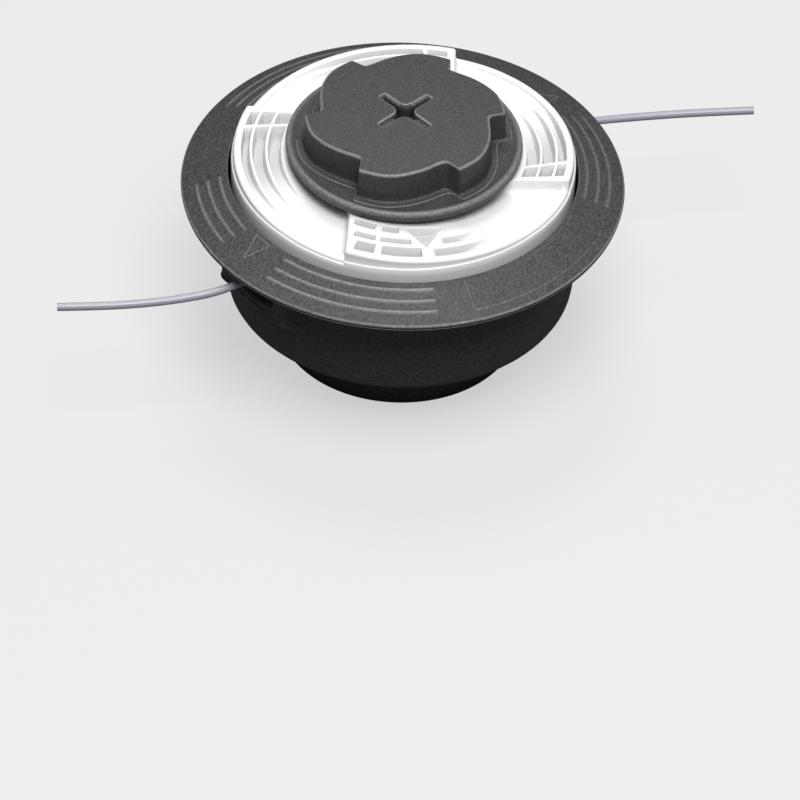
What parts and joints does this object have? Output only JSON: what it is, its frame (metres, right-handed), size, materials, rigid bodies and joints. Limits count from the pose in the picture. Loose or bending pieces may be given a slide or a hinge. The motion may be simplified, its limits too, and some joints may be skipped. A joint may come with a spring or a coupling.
{
  "type": "bump feed trimmer head",
  "caption": "Round trimmer head with a dished brim, a white spool ring, a lobed bump knob, a mounting collar below and a cutting line end at each side.",
  "frame": {"origin": "centre of the collar rim plane, on the spin axis", "axes": "+Z along the spin axis from the mounting collar to the bump knob; the two line exits lie on the X axis"},
  "size_m": [0.1844, 0.109, 0.069],
  "materials": {
    "housing_nylon": "charcoal glass-filled nylon, fine spark texture",
    "knob_nylon": "charcoal nylon, fine spark texture",
    "spool_plastic": "white moulded plastic, satin gloss",
    "eyelet_plastic": "white wear-resistant bush",
    "line_nylon": "translucent pale nylon line",
    "zinc_steel": "zinc-plated steel",
    "spring_steel": "drawn spring wire, oiled"
  },
  "bodies": {
    "housing": {"housing": "housing_nylon", "drive_hub": "housing_nylon", "threaded_insert": "zinc_steel", "retaining_bolt": "zinc_steel", "bolt_washer": "zinc_steel", "retaining_plate": "zinc_steel", "line_eyelet_right": "eyelet_plastic", "line_eyelet_left": "eyelet_plastic", "spring": "spring_steel", "line_end_right": "line_nylon", "line_end_left": "line_nylon", "line_lead_upper": "line_nylon", "line_lead_lower": "line_nylon"},
    "carriage": {"spring_washer": "zinc_steel"},
    "spool": {"spool": "spool_plastic", "bump_knob": "knob_nylon", "line_winding_lower": "line_nylon", "line_winding_upper": "line_nylon"}
  },
  "joints": [
    {"name": "bump_slide", "type": "slide", "parent": "housing", "child": "carriage", "axis": [0, 0, -1], "range_m": [0, 0.0045], "stiffness_N_per_m": 1500, "springref_m": -0.006, "deforming": ["spring"]},
    {"name": "spool_turn", "type": "hinge", "parent": "carriage", "child": "spool", "pos_m": [0, 0, 0.045], "axis": [0, 0, 1], "continuous": true}
  ]
}
